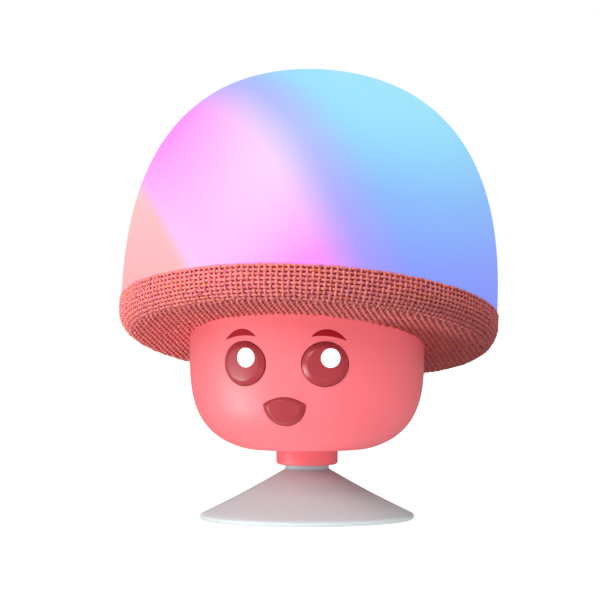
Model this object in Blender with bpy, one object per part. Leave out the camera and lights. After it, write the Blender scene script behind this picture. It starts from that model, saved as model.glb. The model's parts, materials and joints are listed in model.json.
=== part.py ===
"""Mushroom shower speaker: a light-up cap on a round head that stands on a suction cup.

The cap (dome, woven brim, driver and lights) is built upright about its own Z axis and hangs from
the empty "cap_tilt", which leans it back. The head and the suction cup are built about the Z axis of
the empty "stand", which is set forward so that the part as a whole is centred on its origin.
The face looks along -Y. Lengths are written in millimetres and turned into metres when a mesh is made.
"""

import math

import bmesh
import bpy
from mathutils import Matrix, Vector

MM = 0.001
GAP = 0.3                 # clearance left wherever two pieces meet
TURN = 2 * math.pi

STAND_Y = -4.1            # the stand's axis, forward of the middle of the whole

# Cap: seam plane at h = 0, dome above it, brim below it
CAP_TILT = math.radians(14.6)
CAP_CENTRE = (0.0, 2.7, 54.0)
DOME_R, DOME_H, DOME_POWER = 48.4, 60.9, 2.5
DOME_WALL = 2.4
SPIGOT_OUT, SPIGOT_IN, SPIGOT_H = 46.6, 45.2, -2.0
BRIM_OUT, BRIM_LOW, BRIM_ROUND = 48.8, -9.3, 6.2
FABRIC = 0.9
FRAME_WALL = 1.6
LEDGE_H = -3.3
BAFFLE_H = 4.5            # underside of the raised part that carries the driver
SLOT_COUNT = 16
LED_COUNT, LED_RING_R = 6, 33.0

# Head: a round shell, widest at HEAD_WIDE_Z
HEAD_R, HEAD_WIDE_Z, HEAD_DROP, HEAD_POWER = 30.1, 44.0, 27.0, 3.14
HEAD_TOP_Z, HEAD_TOP_R = 60.0, 29.3
FLOOR_Z = 18.2            # flat underside, on the collar
HEAD_WALL = 2.2
HEAD_RIM_H = -6.5         # the shell's tilted top edge, as a height in the cap
POST_R, POST_LENGTH = 3.0, 8.0
POST_PLACES = ((24.8, 7.0), (-24.8, 7.0), (-14.3, -21.5), (14.3, -21.5))   # in the cap's frame

# Face, as distances along the shell's surface from the middle of the face
EYE_U, EYE_Z, EYE_HALF_U, EYE_HALF_Z = 10.55, 40.8, 6.05, 5.6
GLINT_U, GLINT_Z, GLINT_R = 0.9, 1.6, 2.65
BROW_U, BROW_Z, BROW_HALF = 11.55, 48.5, 4.3
MOUTH_Z, MOUTH_HALF = 30.6, 5.6
INSET, PROUD = 0.9, 0.9

# Neck and suction cup
COLLAR_R, COLLAR_LOW, COLLAR_TOP = 7.9, 14.0, 17.9
NIPPLE_R, NIPPLE_TOP = 6.2, 23.0
CUP_R, CUP_LIP, NECK_R, NECK_Z, NECK_TOP = 27.5, 0.75, 5.6, 12.6, 14.7
STUD_R, STUD_TOP = 3.0, 25.6

# Controls at the back
BUTTON_Z, BUTTON_R, BUTTON_TRAVEL = 31.5, 3.0, 0.6
BUTTON_ANGLES = {"button_minus": -44, "button_light": -25, "button_power": 25, "button_plus": 44}
PORT_Z, PORT_LEAN = 29.5, math.radians(18.0)
FLAP_HALF_X, FLAP_HALF_S = 6.2, 3.0
HINGE_R, HINGE_ROOM = 0.55, 0.55

# Inside the head
BOARD_R, BOARD_LOW, BOARD_THICK = 23.0, 26.2, 1.4
CELL_R, CELL_HALF, CELL_Y, CELL_Z = 7.0, 17.2, -4.0, 37.6

SEGMENTS = 32


# ---------------------------------------------------------------- materials

def material(name, colour, roughness, metallic=0.0):
    made = bpy.data.materials.new(name)
    made.use_nodes = True
    shader = made.node_tree.nodes["Principled BSDF"]
    shader.inputs["Base Color"].default_value = (*colour, 1.0)
    shader.inputs["Roughness"].default_value = roughness
    shader.inputs["Metallic"].default_value = metallic
    return made


def paint_named(name):
    return bpy.data.materials[name]


# ---------------------------------------------------------------- making objects

def finish(bm, name, paint, parent=None):
    """Turns a bmesh in millimetres into an object in metres."""
    bmesh.ops.remove_doubles(bm, verts=bm.verts, dist=1e-4)
    bmesh.ops.recalc_face_normals(bm, faces=bm.faces)
    bmesh.ops.scale(bm, vec=(MM, MM, MM), verts=bm.verts)
    mesh = bpy.data.meshes.new(name)
    bm.to_mesh(mesh)
    bm.free()
    mesh.shade_smooth()
    mesh.set_sharp_from_angle(angle=math.radians(35))
    made = bpy.data.objects.new(name, mesh)
    made.data.materials.append(paint)
    bpy.context.scene.collection.objects.link(made)
    made.parent = parent or bpy.data.objects["stand"]
    return made


def lathe(profile, segments=SEGMENTS, closed=True, angle=TURN, start=0.0):
    """A bmesh turned about Z from (radius, height) points; an open profile starts and ends on Z."""
    bm = bmesh.new()
    points = [bm.verts.new((r * math.cos(start), r * math.sin(start), z)) for r, z in profile]
    edges = [bm.edges.new(pair) for pair in zip(points, points[1:])]
    if closed:
        edges.append(bm.edges.new((points[-1], points[0])))
    full = abs(angle - TURN) < 1e-9
    if not full:
        bm.faces.new(points)
    bmesh.ops.spin(
        bm, geom=points + edges + list(bm.faces), cent=(0, 0, 0), axis=(0, 0, 1),
        angle=angle, steps=segments, use_merge=full, use_duplicate=False,
    )
    return bm


def turned(name, profile, paint, parent=None, segments=SEGMENTS, closed=True):
    return finish(lathe(profile, segments, closed), name, paint, parent)


def box_mesh(low, high, bevel=0.0):
    bm = bmesh.new()
    bmesh.ops.create_cube(bm, size=1.0)
    size = [h - l for l, h in zip(low, high)]
    middle = [(h + l) / 2 for l, h in zip(low, high)]
    bmesh.ops.scale(bm, vec=size, verts=bm.verts)
    bmesh.ops.translate(bm, vec=middle, verts=bm.verts)
    if bevel:
        bmesh.ops.bevel(
            bm, geom=list(bm.edges), offset=bevel, segments=1, profile=0.5, affect="EDGES"
        )
    return bm


def rod_mesh(radius, low, high, segments=24):
    """A solid cylinder about Z."""
    return lathe([(0, low), (radius, low), (radius, high), (0, high)], segments, closed=False)


def moved(bm, matrix):
    bmesh.ops.transform(bm, matrix=matrix, verts=bm.verts)
    return bm


def joined(parts):
    """Several bmeshes as one; the parts don't touch each other."""
    whole = bmesh.new()
    for part in parts:
        mesh = bpy.data.meshes.new("part")
        part.to_mesh(mesh)
        part.free()
        whole.from_mesh(mesh)
        bpy.data.meshes.remove(mesh)
    return whole


def cut(target, cutter, operation="DIFFERENCE"):
    """Applies a helper solid to a piece with a live Boolean; the helper itself is not a piece."""
    cutter.hide_render = True
    cutter.display_type = "WIRE"
    boolean = target.modifiers.new(operation.lower(), "BOOLEAN")
    boolean.operation = operation
    boolean.solver = "EXACT"
    boolean.object = cutter
    return target


def arc(centre, radius, first, last, steps):
    """Points on a circle in the profile plane, from one angle in degrees to another."""
    angles = [math.radians(first + (last - first) * i / steps) for i in range(steps + 1)]
    return [(centre[0] + radius * math.cos(a), centre[1] + radius * math.sin(a)) for a in angles]


def wire(name, points, radius, paint):
    """A round lead through hand-placed points, smoothed into one bend after another."""
    curve = bpy.data.curves.new(name, "CURVE")
    curve.dimensions = "3D"
    curve.bevel_depth = radius * MM
    curve.bevel_resolution = 2
    curve.use_fill_caps = True
    route = smooth_route([Vector(p) for p in points], steps=4)
    spline = curve.splines.new("POLY")
    spline.points.add(len(route) - 1)
    for point, place in zip(spline.points, route):
        point.co = (*(place * MM), 1.0)
    made = bpy.data.objects.new(name, curve)
    made.data.materials.append(paint)
    bpy.context.scene.collection.objects.link(made)
    made.parent = bpy.data.objects["stand"]
    return made


def smooth_route(points, steps):
    """Catmull-Rom points through the given ones."""
    ends = [points[0] * 2 - points[1], *points, points[-1] * 2 - points[-2]]
    route = []
    for a, b, c, d in zip(ends, ends[1:], ends[2:], ends[3:]):
        for i in range(steps):
            t = i / steps
            route.append(
                0.5 * (2 * b + (c - a) * t + (2 * a - 5 * b + 4 * c - d) * t * t
                       + (3 * b - a - 3 * c + d) * t ** 3)
            )
    return route + [points[-1]]


# ---------------------------------------------------------------- shapes shared by pieces

def superellipse(radius, height, power, first, last, steps):
    """(radius, height) points; the angle runs from 0 at the widest place to 90 on the axis."""
    points = []
    for i in range(steps + 1):
        a = math.radians(first + (last - first) * i / steps)
        r = radius * max(math.cos(a), 0.0) ** (2 / power)
        points.append((r if r > 1e-6 else 0.0, height * math.sin(a) ** (2 / power)))
    return points


def head_radius(z, grow=0.0):
    """Outer radius of the head's shell at a height, grown outwards or, if negative, inwards."""
    wide, drop = HEAD_R + grow, HEAD_DROP + grow
    if z >= HEAD_WIDE_Z:
        share = (z - HEAD_WIDE_Z) / (HEAD_TOP_Z - HEAD_WIDE_Z)
        return wide - (HEAD_R - HEAD_TOP_R) * share
    fall = min((HEAD_WIDE_Z - z) / drop, 1.0)
    return wide * (1 - fall ** HEAD_POWER) ** (1 / HEAD_POWER)


def head_profile(grow, hole, steps):
    """The shell's section from the hole in its flat floor up to its full height."""
    floor_z = FLOOR_Z - grow
    fall = (HEAD_WIDE_Z - floor_z) / (HEAD_DROP + grow)
    last = math.degrees(math.asin(fall ** (HEAD_POWER / 2)))
    rising = superellipse(HEAD_R + grow, HEAD_DROP + grow, HEAD_POWER, 0, last, steps)
    points = [(r, HEAD_WIDE_Z - h) for r, h in reversed(rising)]
    return [(hole, floor_z), *points, (HEAD_TOP_R + grow, HEAD_TOP_Z)]


def on_head(u, z, out):
    """A point out from the shell's surface, u along the surface from the middle of the face."""
    angle = u / HEAD_R
    r = head_radius(z)
    step = 0.05
    slope = (head_radius(z + step) - head_radius(z - step)) / (2 * step)
    normal = Vector((1.0, -slope)).normalized()
    r, z = r + normal.x * out, z + normal.y * out
    return Vector((r * math.sin(angle), -r * math.cos(angle), z))


def oval_outline(half_u, half_z, points=20):
    return [(half_u * math.cos(TURN * i / points), half_z * math.sin(TURN * i / points))
            for i in range(points)]


def brow_outline(half, side, grow=0.0, steps=6):
    """A crescent: a high upper arc and a flatter lower one, its outer end a little lower."""
    points = []
    for low, high, order in ((-1.2, 0.9, 1), (-1.5, -0.8, -1)):
        for i in range(steps + 1):
            t = order * (1 - 2 * i / steps)
            rise = low + (high - low) * (1 - t * t)
            points.append((t * (half + grow), rise + order * grow - 0.5 * side * t))
    return points


def mouth_outline(half, grow=0.0, steps=6):
    """An open smile: a shallow arch on top and a deep rounded chin below."""
    points = []
    for i in range(steps + 1):
        t = 1 - 2 * i / steps
        points.append((t * (half + grow), 1.8 * (1 - t * t) + 0.1 + grow))
    for i in range(1, 2 * steps):
        a = math.pi * i / (2 * steps)
        points.append((-math.cos(a) * (half + grow), -(5.4 + grow) * math.sin(a) ** 0.85))
    return points


def puck(outline, middle, levels, crown=0.0):
    """A solid that follows the head's surface.

    outline is (u, z) about middle; levels are (scale, out) rings from the buried face to the front.
    """
    bm = bmesh.new()
    flat = [bm.verts.new((u, z, 0.0)) for u, z in outline]
    face = bm.faces.new(flat)
    rings = [levels[0][1]]
    faces = [face]
    heights = {v: levels[0] for v in flat}
    for scale, out in levels[1:]:
        made = bmesh.ops.extrude_face_region(bm, geom=[faces[-1]])
        fresh = [g for g in made["geom"] if isinstance(g, bmesh.types.BMVert)]
        top = [g for g in made["geom"] if isinstance(g, bmesh.types.BMFace)]
        if len(rings) > 1:
            bmesh.ops.delete(bm, geom=[faces[-1]], context="FACES_ONLY")
        for v in fresh:
            heights[v] = (scale, out)
        faces.append(top[0])
        rings.append(out)
    centre = bmesh.ops.poke(bm, faces=[faces[-1]])["verts"][0]
    heights[centre] = (0.0, levels[-1][1] + crown)
    for v in bm.verts:
        scale, out = heights[v]
        u, z = v.co.x * scale, v.co.y * scale
        v.co = on_head(middle[0] + u, middle[1] + z, out)
    return bm


def in_cap(point):
    """Where a point of the cap's own frame lies in the part."""
    return Matrix.Rotation(-CAP_TILT, 3, "X") @ Vector(point) + Vector(CAP_CENTRE)


def ring_of(count, radius, start):
    """(x, y, angle) of places spread evenly round Z."""
    angles = [start + TURN * i / count for i in range(count)]
    return [(radius * math.cos(a), radius * math.sin(a), a) for a in angles]


# ---------------------------------------------------------------- cap

def dome_shell(paint, cap):
    outer = superellipse(DOME_R, DOME_H, DOME_POWER, 0, 90, 11)
    inner = superellipse(SPIGOT_IN, DOME_H - DOME_WALL, DOME_POWER, 0, 90, 8)
    foot = [(SPIGOT_IN, SPIGOT_H), (SPIGOT_OUT, SPIGOT_H), (SPIGOT_OUT, 0)]
    profile = list(reversed(inner)) + foot + outer
    return turned("dome", profile, paint, cap, closed=False)


def dome_seal(paint, cap):
    low, high = LEDGE_H + GAP, SPIGOT_H - GAP
    profile = [(SPIGOT_IN, low), (SPIGOT_OUT, low), (SPIGOT_OUT, high), (SPIGOT_IN, high)]
    return turned("dome_seal", profile, paint, cap)


def head_plug(name, grow):
    """A helper as wide as the head, for the hole through which the head enters the brim."""
    top = HEAD_TOP_R + grow
    profile = [(0, 20), (head_radius(20, grow), 20)]
    profile += [(head_radius(z, grow), z) for z in (24, 28, 32, 36, 40, HEAD_WIDE_Z)]
    profile += [(top, HEAD_TOP_Z), (0, HEAD_TOP_Z)]
    return turned(name, profile, paint_named("helper"), closed=False)


def brim_fabric(paint, cap, plug):
    middle = (BRIM_OUT - BRIM_ROUND, BRIM_LOW + BRIM_ROUND)
    outside = [(BRIM_OUT - 0.3, -GAP), (BRIM_OUT, -1.4)] + arc(middle, BRIM_ROUND, 0, -90, 5)
    inside = arc(middle, BRIM_ROUND - FABRIC, -90, 0, 4) + [(BRIM_OUT - FABRIC, -GAP)]
    flat = [(26.0, BRIM_LOW), (26.0, BRIM_LOW + FABRIC)]
    made = turned("brim_fabric", outside + flat + inside, paint, cap)
    return cut(made, plug)


def brim_frame(paint, cap, plug):
    """The ring under the fabric: a rim round the dome's foot, a ledge, and a slotted underside."""
    out = BRIM_OUT - FABRIC - GAP
    turn = BRIM_ROUND - FABRIC - GAP
    low = BRIM_LOW + FABRIC + GAP
    floor = low + FRAME_WALL
    profile = [(26.0, low)] + arc((out - turn, low + turn), turn, -90, 0, 3)
    profile += [(out, -0.4), (SPIGOT_OUT + GAP, -0.4), (SPIGOT_OUT + GAP, LEDGE_H)]
    profile += [(43.0, LEDGE_H), (43.0, LEDGE_H - 1.6), (44.6, LEDGE_H - 1.6), (44.6, floor)]
    profile += [(26.0, floor)]
    made = turned("brim_frame", profile, paint, cap)
    slots = [moved(box_mesh((35.0, -1.1, low - 1), (42.0, 1.1, floor + 1)),
                   Matrix.Rotation(TURN * i / SLOT_COUNT, 4, "Z")) for i in range(SLOT_COUNT)]
    cut(made, finish(joined(slots), "slot_cutter", paint_named("helper"), cap))
    return cut(made, plug)


def baffle(paint, cap):
    """The raised plate that carries the driver and the lights above the sound chamber."""
    top = BAFFLE_H + FRAME_WALL
    profile = [(44.9, LEDGE_H + GAP), (44.9, LEDGE_H + GAP + FRAME_WALL)]
    profile += [(41.6, LEDGE_H + GAP + FRAME_WALL), (41.6, top), (21.5, top), (21.5, BAFFLE_H)]
    profile += [(40.0, BAFFLE_H), (40.0, LEDGE_H + GAP)]
    made = turned("baffle_plate", profile, paint, cap)
    hole = moved(rod_mesh(1.4, BAFFLE_H - 2, top + 2, 12), Matrix.Translation((-30.0, 4.0, 0)))
    return cut(made, finish(hole, "harness_hole_baffle", paint_named("helper"), cap))


def lights(board_paint, led_paint, cone_paint, cap):
    low = BAFFLE_H + FRAME_WALL + GAP
    top = low + 1.6
    profile = [(25.6, low), (39.0, low), (39.0, top), (25.6, top)]
    turned("led_board", profile, board_paint, cap)
    for i, (x, y, angle) in enumerate(ring_of(LED_COUNT, LED_RING_R, math.radians(30))):
        chip = box_mesh((-2.5, -2.5, 0), (2.5, 2.5, 1.6), bevel=0.4)
        moved(chip, Matrix.Translation((x, y, top + GAP)) @ Matrix.Rotation(angle, 4, "Z"))
        finish(chip, f"led_{i + 1}", led_paint, cap)
    foot = top + GAP
    wide, tall, wall = 27.6, 24.0, 1.2
    outside = [(r, foot + h) for r, h in superellipse(wide, tall, 2.1, 0, 90, 5)]
    inside = [(r, foot + h) for r, h in superellipse(wide - wall, tall - wall, 2.1, 90, 0, 5)]
    turned("light_cone", outside[::-1] + inside[::-1], cone_paint, cap, closed=False)


def driver(paints, cap):
    """A small full-range driver, magnet up, playing down into the sound chamber."""
    steel, magnet, paper, rubber, copper, cloth = paints
    seat = BAFFLE_H + FRAME_WALL + GAP
    basket = [(25.0, seat), (25.0, seat + 1), (22.0, seat + 1), (14.6, seat + 8.8),
              (14.6, seat + 9.9), (9.0, seat + 9.9), (9.0, seat + 8.9), (13.4, seat + 8.9),
              (20.8, seat + 1), (20.8, seat)]
    turned("driver_basket", basket, steel, cap, 24)
    plate = seat + 10.2
    turned("driver_top_plate", [(7.3, plate), (13.8, plate), (13.8, plate + 1.5),
                                (7.3, plate + 1.5)], steel, cap, 24)
    ring = plate + 1.8
    turned("driver_magnet", [(8.5, ring), (14.0, ring), (14.0, ring + 4.4), (8.5, ring + 4.4)],
           magnet, cap, 24)
    back = ring + 4.7
    turned("driver_yoke", [(0, plate), (5.6, plate), (5.6, back), (14.0, back),
                           (14.0, back + 2), (0, back + 2)], steel, cap, 24, closed=False)
    turned("driver_cone", [(16.5, seat + 0.5), (16.5, seat + 1.1), (7.4, seat + 6.7),
                           (7.2, seat + 6.1)], paper, cap, 24)
    turned("driver_voice_coil", [(6.3, seat + 6.0), (6.8, seat + 6.0), (6.8, seat + 13),
                                 (6.3, seat + 13)], copper, cap, 24)
    outer = [(7.9 * t, seat + 2.6 + 2.3 * t * t) for t in (0, 0.35, 0.7, 1.0)]
    inner = [(r, h + 0.45) for r, h in reversed(outer)]
    turned("driver_dust_cap", outer + inner, paper, cap, 24, closed=False)
    roll = (18.65, seat + 0.6)
    turned("driver_surround", arc(roll, 1.85, 180, 360, 5) + arc(roll, 1.4, 360, 180, 5),
           rubber, cap, 24)
    rings = 4
    low = [(7.15 + 6.6 * i / rings, seat + 7.65 + 0.45 * (i % 2)) for i in range(rings + 1)]
    high = [(r, h + 0.4) for r, h in reversed(low)]
    turned("driver_spider", low + high, cloth, cap, 24)


def deflector(paint, cap):
    """The lid over the head: it clamps the brim's frame and spreads the sound with a low cone."""
    low = HEAD_RIM_H + GAP
    top = low + 1.5
    profile = [(0, low), (34.0, low), (34.0, top), (20.0, top), (14.0, top + 1.6),
               (7.0, top + 4.6), (2.5, top + 6.4), (0, top + 6.8)]
    made = turned("sound_deflector", profile, paint, cap, closed=False)
    places = [(x, y, 1.5) for x, y in POST_PLACES] + [(-17.0, 19.0, 1.7)]
    holes = [moved(rod_mesh(r, low - 2, top + 2, 12), Matrix.Translation((x, y, 0)))
             for x, y, r in places]
    cut(made, finish(joined(holes), "deflector_holes", paint_named("helper"), cap))
    for i, (x, y) in enumerate(POST_PLACES):
        head = top + GAP
        screw = [(0, low - 6.5), (0.7, low - 6.5), (1.0, low - 6.0), (1.0, head), (2.3, head),
                 (2.3, head + 0.9), (1.5, head + 1.5), (0, head + 1.5)]
        bm = moved(lathe(screw, 12, closed=False), Matrix.Translation((x, y, 0)))
        finish(bm, f"frame_screw_{i + 1}", paint_named("zinc"), cap)


# ---------------------------------------------------------------- head

def head_shell(paint, cap):
    outer = head_profile(0.0, NIPPLE_R + 0.4, 12)
    inner = head_profile(-HEAD_WALL, NIPPLE_R + 0.4, 8)
    made = turned("head_shell", outer + list(reversed(inner)), paint)
    helper = paint_named("helper")
    low = HEAD_RIM_H - POST_LENGTH
    for i, (x, y) in enumerate(POST_PLACES):
        post = moved(rod_mesh(POST_R, low, 2.0, 12), Matrix.Translation((x, y, 0)))
        cut(made, finish(post, f"post_{i + 1}", helper, cap), "UNION")
    above = box_mesh((-60, -60, HEAD_RIM_H), (60, 60, 60))
    cut(made, finish(above, "above_rim", helper, cap))
    for i, (x, y) in enumerate(POST_PLACES):
        hole = moved(rod_mesh(1.35, HEAD_RIM_H - 6.8, 4, 10), Matrix.Translation((x, y, 0)))
        cut(made, finish(hole, f"post_hole_{i + 1}", helper, cap))
    return made


def face(shell, paints):
    """Eyes with their glints, brows and the mouth, each in its own pocket of the shell."""
    dark, white, brow_red = paints
    helper = paint_named("helper")
    front = [(1.0, -INSET), (1.0, PROUD - 0.5), (0.95, PROUD - 0.12), (0.84, PROUD)]
    pocket = [(1.0, -INSET - GAP), (1.0, 4.0)]
    for side, label in ((-1, "left"), (1, "right")):
        middle = (side * EYE_U, EYE_Z)
        eye = finish(puck(oval_outline(EYE_HALF_U, EYE_HALF_Z), middle, front, 0.15), f"eye_{label}", dark)
        hole = puck(oval_outline(EYE_HALF_U + GAP, EYE_HALF_Z + GAP), middle, pocket)
        cut(shell, finish(hole, f"eye_pocket_{label}", helper))
        spot = (middle[0] + GLINT_U, middle[1] + GLINT_Z)
        glint = [(1.0, 0.45), (1.0, 0.95), (0.9, 1.15)]
        finish(puck(oval_outline(GLINT_R, GLINT_R, 16), spot, glint, 0.05), f"eye_glint_{label}", white)
        seat = puck(oval_outline(GLINT_R + GAP, GLINT_R + GAP, 16), spot, [(1.0, 0.15), (1.0, 3.0)])
        cut(eye, finish(seat, f"glint_pocket_{label}", helper))
        middle = (side * BROW_U, BROW_Z)
        brow = puck(brow_outline(BROW_HALF, side), middle, [(1.0, -0.5), (1.0, 0.12)])
        finish(brow, f"brow_{label}", brow_red)
        hole = puck(brow_outline(BROW_HALF, side, GAP), middle, [(1.0, -0.8), (1.0, 2.0)])
        cut(shell, finish(hole, f"brow_pocket_{label}", helper))
    middle = (0.0, MOUTH_Z)
    finish(puck(mouth_outline(MOUTH_HALF), middle, front, 0.1), "mouth", dark)
    cut(shell, finish(puck(mouth_outline(MOUTH_HALF, GAP), middle, pocket), "mouth_pocket", helper))


def facing_back(angle_deg, z):
    """Turns +Z of a shape to point out of the head at an angle from the back, at a height."""
    turn = Matrix.Rotation(-math.radians(angle_deg), 4, "Z")
    out = Matrix.Rotation(-math.pi / 2, 4, "X")
    return Matrix.Translation((0, 0, z)) @ turn @ out


def buttons(shell, rubber, plastic, board):
    helper = paint_named("helper")
    face_r = head_radius(BUTTON_Z) + 0.8
    flange = 23.4
    for name, angle in BUTTON_ANGLES.items():
        place = facing_back(angle, BUTTON_Z)
        section = [(0, flange), (3.5, flange), (3.5, flange + 0.8), (BUTTON_R, flange + 0.8),
                   (BUTTON_R, face_r - 0.5), (BUTTON_R - 0.5, face_r), (0, face_r + 0.15)]
        finish(moved(lathe(section, 16, closed=False), place), name, rubber)
        hole = moved(rod_mesh(BUTTON_R + GAP, flange + 1.2, face_r + 3, 16), place)
        cut(shell, finish(hole, f"{name}_hole", helper))
        low, high = flange - 0.8 - 1.6, flange - 0.8
        switch = moved(box_mesh((-1.8, -1.8, low), (1.8, 1.8, high), bevel=0.25), place)
        finish(switch, name.replace("button", "switch"), plastic)
    inner, outer = flange - 3.5, flange - 2.7
    strip = [(inner, 29.2), (outer, 29.2), (outer, 34.6), (inner, 34.6)]
    start, span = math.radians(90 - 54), math.radians(108)
    flex = finish(lathe(strip, 24, angle=span, start=start), "button_board", board)
    window = box_mesh((-5.6, 15, 28), (5.6, 25, 32.6))
    cut(flex, finish(window, "socket_window", helper))


def port_place():
    """The flap's own frame: X across, Y out of the shell, Z up along it."""
    out = head_radius(PORT_Z)
    return Matrix.Translation((0, out, PORT_Z)) @ Matrix.Rotation(-PORT_LEAN, 4, "X")


def port(shell, rubber, metal):
    """The charging socket and the soft flap that covers it, on a snap-in barrel at its lower edge."""
    helper = paint_named("helper")
    place = port_place()
    axis_y, axis_z = -0.55, -FLAP_HALF_S
    plate = finish(moved(box_mesh((-FLAP_HALF_X, -1.1, -FLAP_HALF_S),
                                  (FLAP_HALF_X, 3, FLAP_HALF_S)), place), "port_flap", rubber)
    skin = head_plug("flap_outside", 0.15)
    cut(plate, skin, "INTERSECT")
    plug = finish(moved(box_mesh((-4.0, -2.3, -1.1), (4.0, -0.6, 1.1), 0.3), place), "flap_plug",
                  helper)
    cut(plate, plug, "UNION")
    lie = Matrix.Translation((0, axis_y, axis_z)) @ Matrix.Rotation(math.pi / 2, 4, "Y")
    barrel = finish(moved(rod_mesh(HINGE_R, -5.0, 5.0, 16), place @ lie), "flap_barrel", helper)
    cut(plate, barrel, "UNION")
    recess = box_mesh((-FLAP_HALF_X - GAP, -1.4, -FLAP_HALF_S - 0.3),
                      (FLAP_HALF_X + GAP, 6, FLAP_HALF_S + GAP))
    cut(shell, finish(moved(recess, place), "port_recess", helper))
    groove = moved(rod_mesh(HINGE_R + HINGE_ROOM, -FLAP_HALF_X - GAP, FLAP_HALF_X + GAP, 16), place @ lie)
    cut(shell, finish(groove, "barrel_groove", helper))
    way = moved(box_mesh((-4.8, -6, -2.1), (4.8, 2, 1.9)), place)
    cut(shell, finish(way, "port_way", helper))
    board_top = BOARD_LOW + BOARD_THICK
    low, high = board_top + GAP, board_top + GAP + 3.2
    socket = finish(box_mesh((-4.47, 17.6, low), (4.47, 24.3, high), 0.5), "usb_socket", metal)
    mouth = box_mesh((-4.1, 18.8, low + 0.4), (4.1, 27, high - 0.4))
    tongue = box_mesh((-3.3, 18.2, low + 1.25), (3.3, 23.3, low + 1.95))
    cut(socket, finish(mouth, "socket_mouth", helper))
    cut(socket, finish(tongue, "socket_tongue", helper), "UNION")


def neck(paint, steel, rubber):
    """The collar under the head, held by a nut, with the seal that keeps water out."""
    collar = [(3.4, COLLAR_LOW + 1.0), (5.9, COLLAR_LOW + 1.0), (5.9, COLLAR_LOW)]
    collar += arc((COLLAR_R - 0.8, COLLAR_LOW + 0.8), 0.8, -90, 0, 3)
    collar += [(COLLAR_R, COLLAR_TOP), (7.5, COLLAR_TOP), (7.5, COLLAR_TOP - 0.8),
               (NIPPLE_R, COLLAR_TOP - 0.8), (NIPPLE_R, NIPPLE_TOP), (3.4, NIPPLE_TOP)]
    turned("neck_collar", collar, paint, segments=24)
    ring = [(6.5, 17.4), (7.2, 17.4), (7.2, 17.95), (6.5, 17.95)]
    turned("collar_seal", ring, rubber, segments=24)
    nut = finish(moved(rod_mesh(9.2, 21.0, 22.7, 6), Matrix.Identity(4)), "collar_nut", steel)
    bore = finish(rod_mesh(NIPPLE_R + GAP, 20, 24, 24), "nut_bore", paint_named("helper"))
    cut(nut, bore)


# ---------------------------------------------------------------- suction cup

def suction_cup(paint):
    """A soft cone on a round lip, hollow below, with a pocket for the stud in its neck."""
    under = [(0, 7.6), (5.0, 7.4), (10.0, 6.3), (15.0, 4.6), (20.0, 2.6), (25.4, 0)]
    lip = [(26.9, 0)] + arc((CUP_R - CUP_LIP, CUP_LIP), CUP_LIP, -60, 60, 4)
    neck_side = [(NECK_R + 0.3, NECK_Z), (NECK_R, NECK_Z + 0.3), (NECK_R, NECK_TOP), (3.3, NECK_TOP)]
    pocket = [(3.3, 11.4), (4.5, 11.4), (4.5, 9.6), (0, 9.6)]
    return turned("suction_cup", under + lip + neck_side + pocket, paint, closed=False)


def stud(steel):
    """The stud moulded into the cup: it turns in the collar, kept in by a spring clip."""
    flange = [(0, 9.9), (4.2, 9.9), (4.2, 11.1), (STUD_R, 11.1)]
    groove = [(STUD_R, 23.9), (2.2, 23.9), (2.2, 24.9), (STUD_R, 24.9)]
    top = [(STUD_R, STUD_TOP - 0.4), (STUD_R - 0.4, STUD_TOP), (0, STUD_TOP)]
    turned("cup_stud", flange + groove + top, steel, segments=24, closed=False)
    ring = [(2.5, 24.1), (4.8, 24.1), (4.8, 24.6), (2.5, 24.6)]
    clip = lathe(ring, 24, angle=math.radians(300), start=math.radians(120))
    finish(clip, "stud_clip", steel)


# ---------------------------------------------------------------- electronics in the head

def electronics(board, chip, silver, cell, tray, lead_red, lead_grey, cap):
    top = BOARD_LOW + BOARD_THICK
    finish(rod_mesh(BOARD_R, BOARD_LOW, top, 32), "main_board", board)
    finish(box_mesh((-19.0, 3.5, top + GAP), (-9.0, 12.5, top + 1.2), 0.2), "radio_module", silver)
    finish(box_mesh((9.0, 5.0, top + GAP), (14.0, 10.0, top + 1.4), 0.2), "amplifier_chip", chip)
    body = moved(rod_mesh(CELL_R, -CELL_HALF, CELL_HALF, 24),
                 Matrix.Translation((0, CELL_Y, CELL_Z)) @ Matrix.Rotation(math.pi / 2, 4, "Y"))
    finish(body, "battery", cell)
    cradle_low = top + GAP
    block = box_mesh((-17.0, CELL_Y - 5.6, cradle_low), (17.0, CELL_Y + 5.6, CELL_Z - 2.5))
    cradle = finish(block, "battery_tray", tray)
    room = moved(rod_mesh(CELL_R + GAP, -30, 30, 24),
                 Matrix.Translation((0, CELL_Y, CELL_Z)) @ Matrix.Rotation(math.pi / 2, 4, "Y"))
    cut(cradle, finish(room, "cell_room", paint_named("helper")))
    arch = box_mesh((-13.0, CELL_Y - 9, cradle_low - 2), (13.0, CELL_Y + 9, CELL_Z - CELL_R - 1.4))
    cut(cradle, finish(arch, "tray_arch", paint_named("helper")))
    wire("battery_lead", [(17.8, -3.0, 38.5), (19.0, -1.5, 38.4), (19.6, 1.0, 36.0),
                          (18.6, 3.5, 31.5), (17.5, 4.5, top + 0.9)], 0.6, lead_red)
    high = in_cap((-17.0, 19.0, -5.5))
    rise = in_cap((-21.0, 14.5, 0.5))
    end = in_cap((-30.0, 4.0, BAFFLE_H + FRAME_WALL - 0.1))
    below_end = in_cap((-29.6, 4.6, 2.5))
    wire("lights_lead", [(-5.5, 14.0, top + 0.9), (-6.0, 14.6, 31.0), (-10.6, 16.8, 37.0),
                         tuple(high), tuple(rise), tuple(below_end), tuple(end)], 0.7, lead_grey)


# ---------------------------------------------------------------- the whole object

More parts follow.
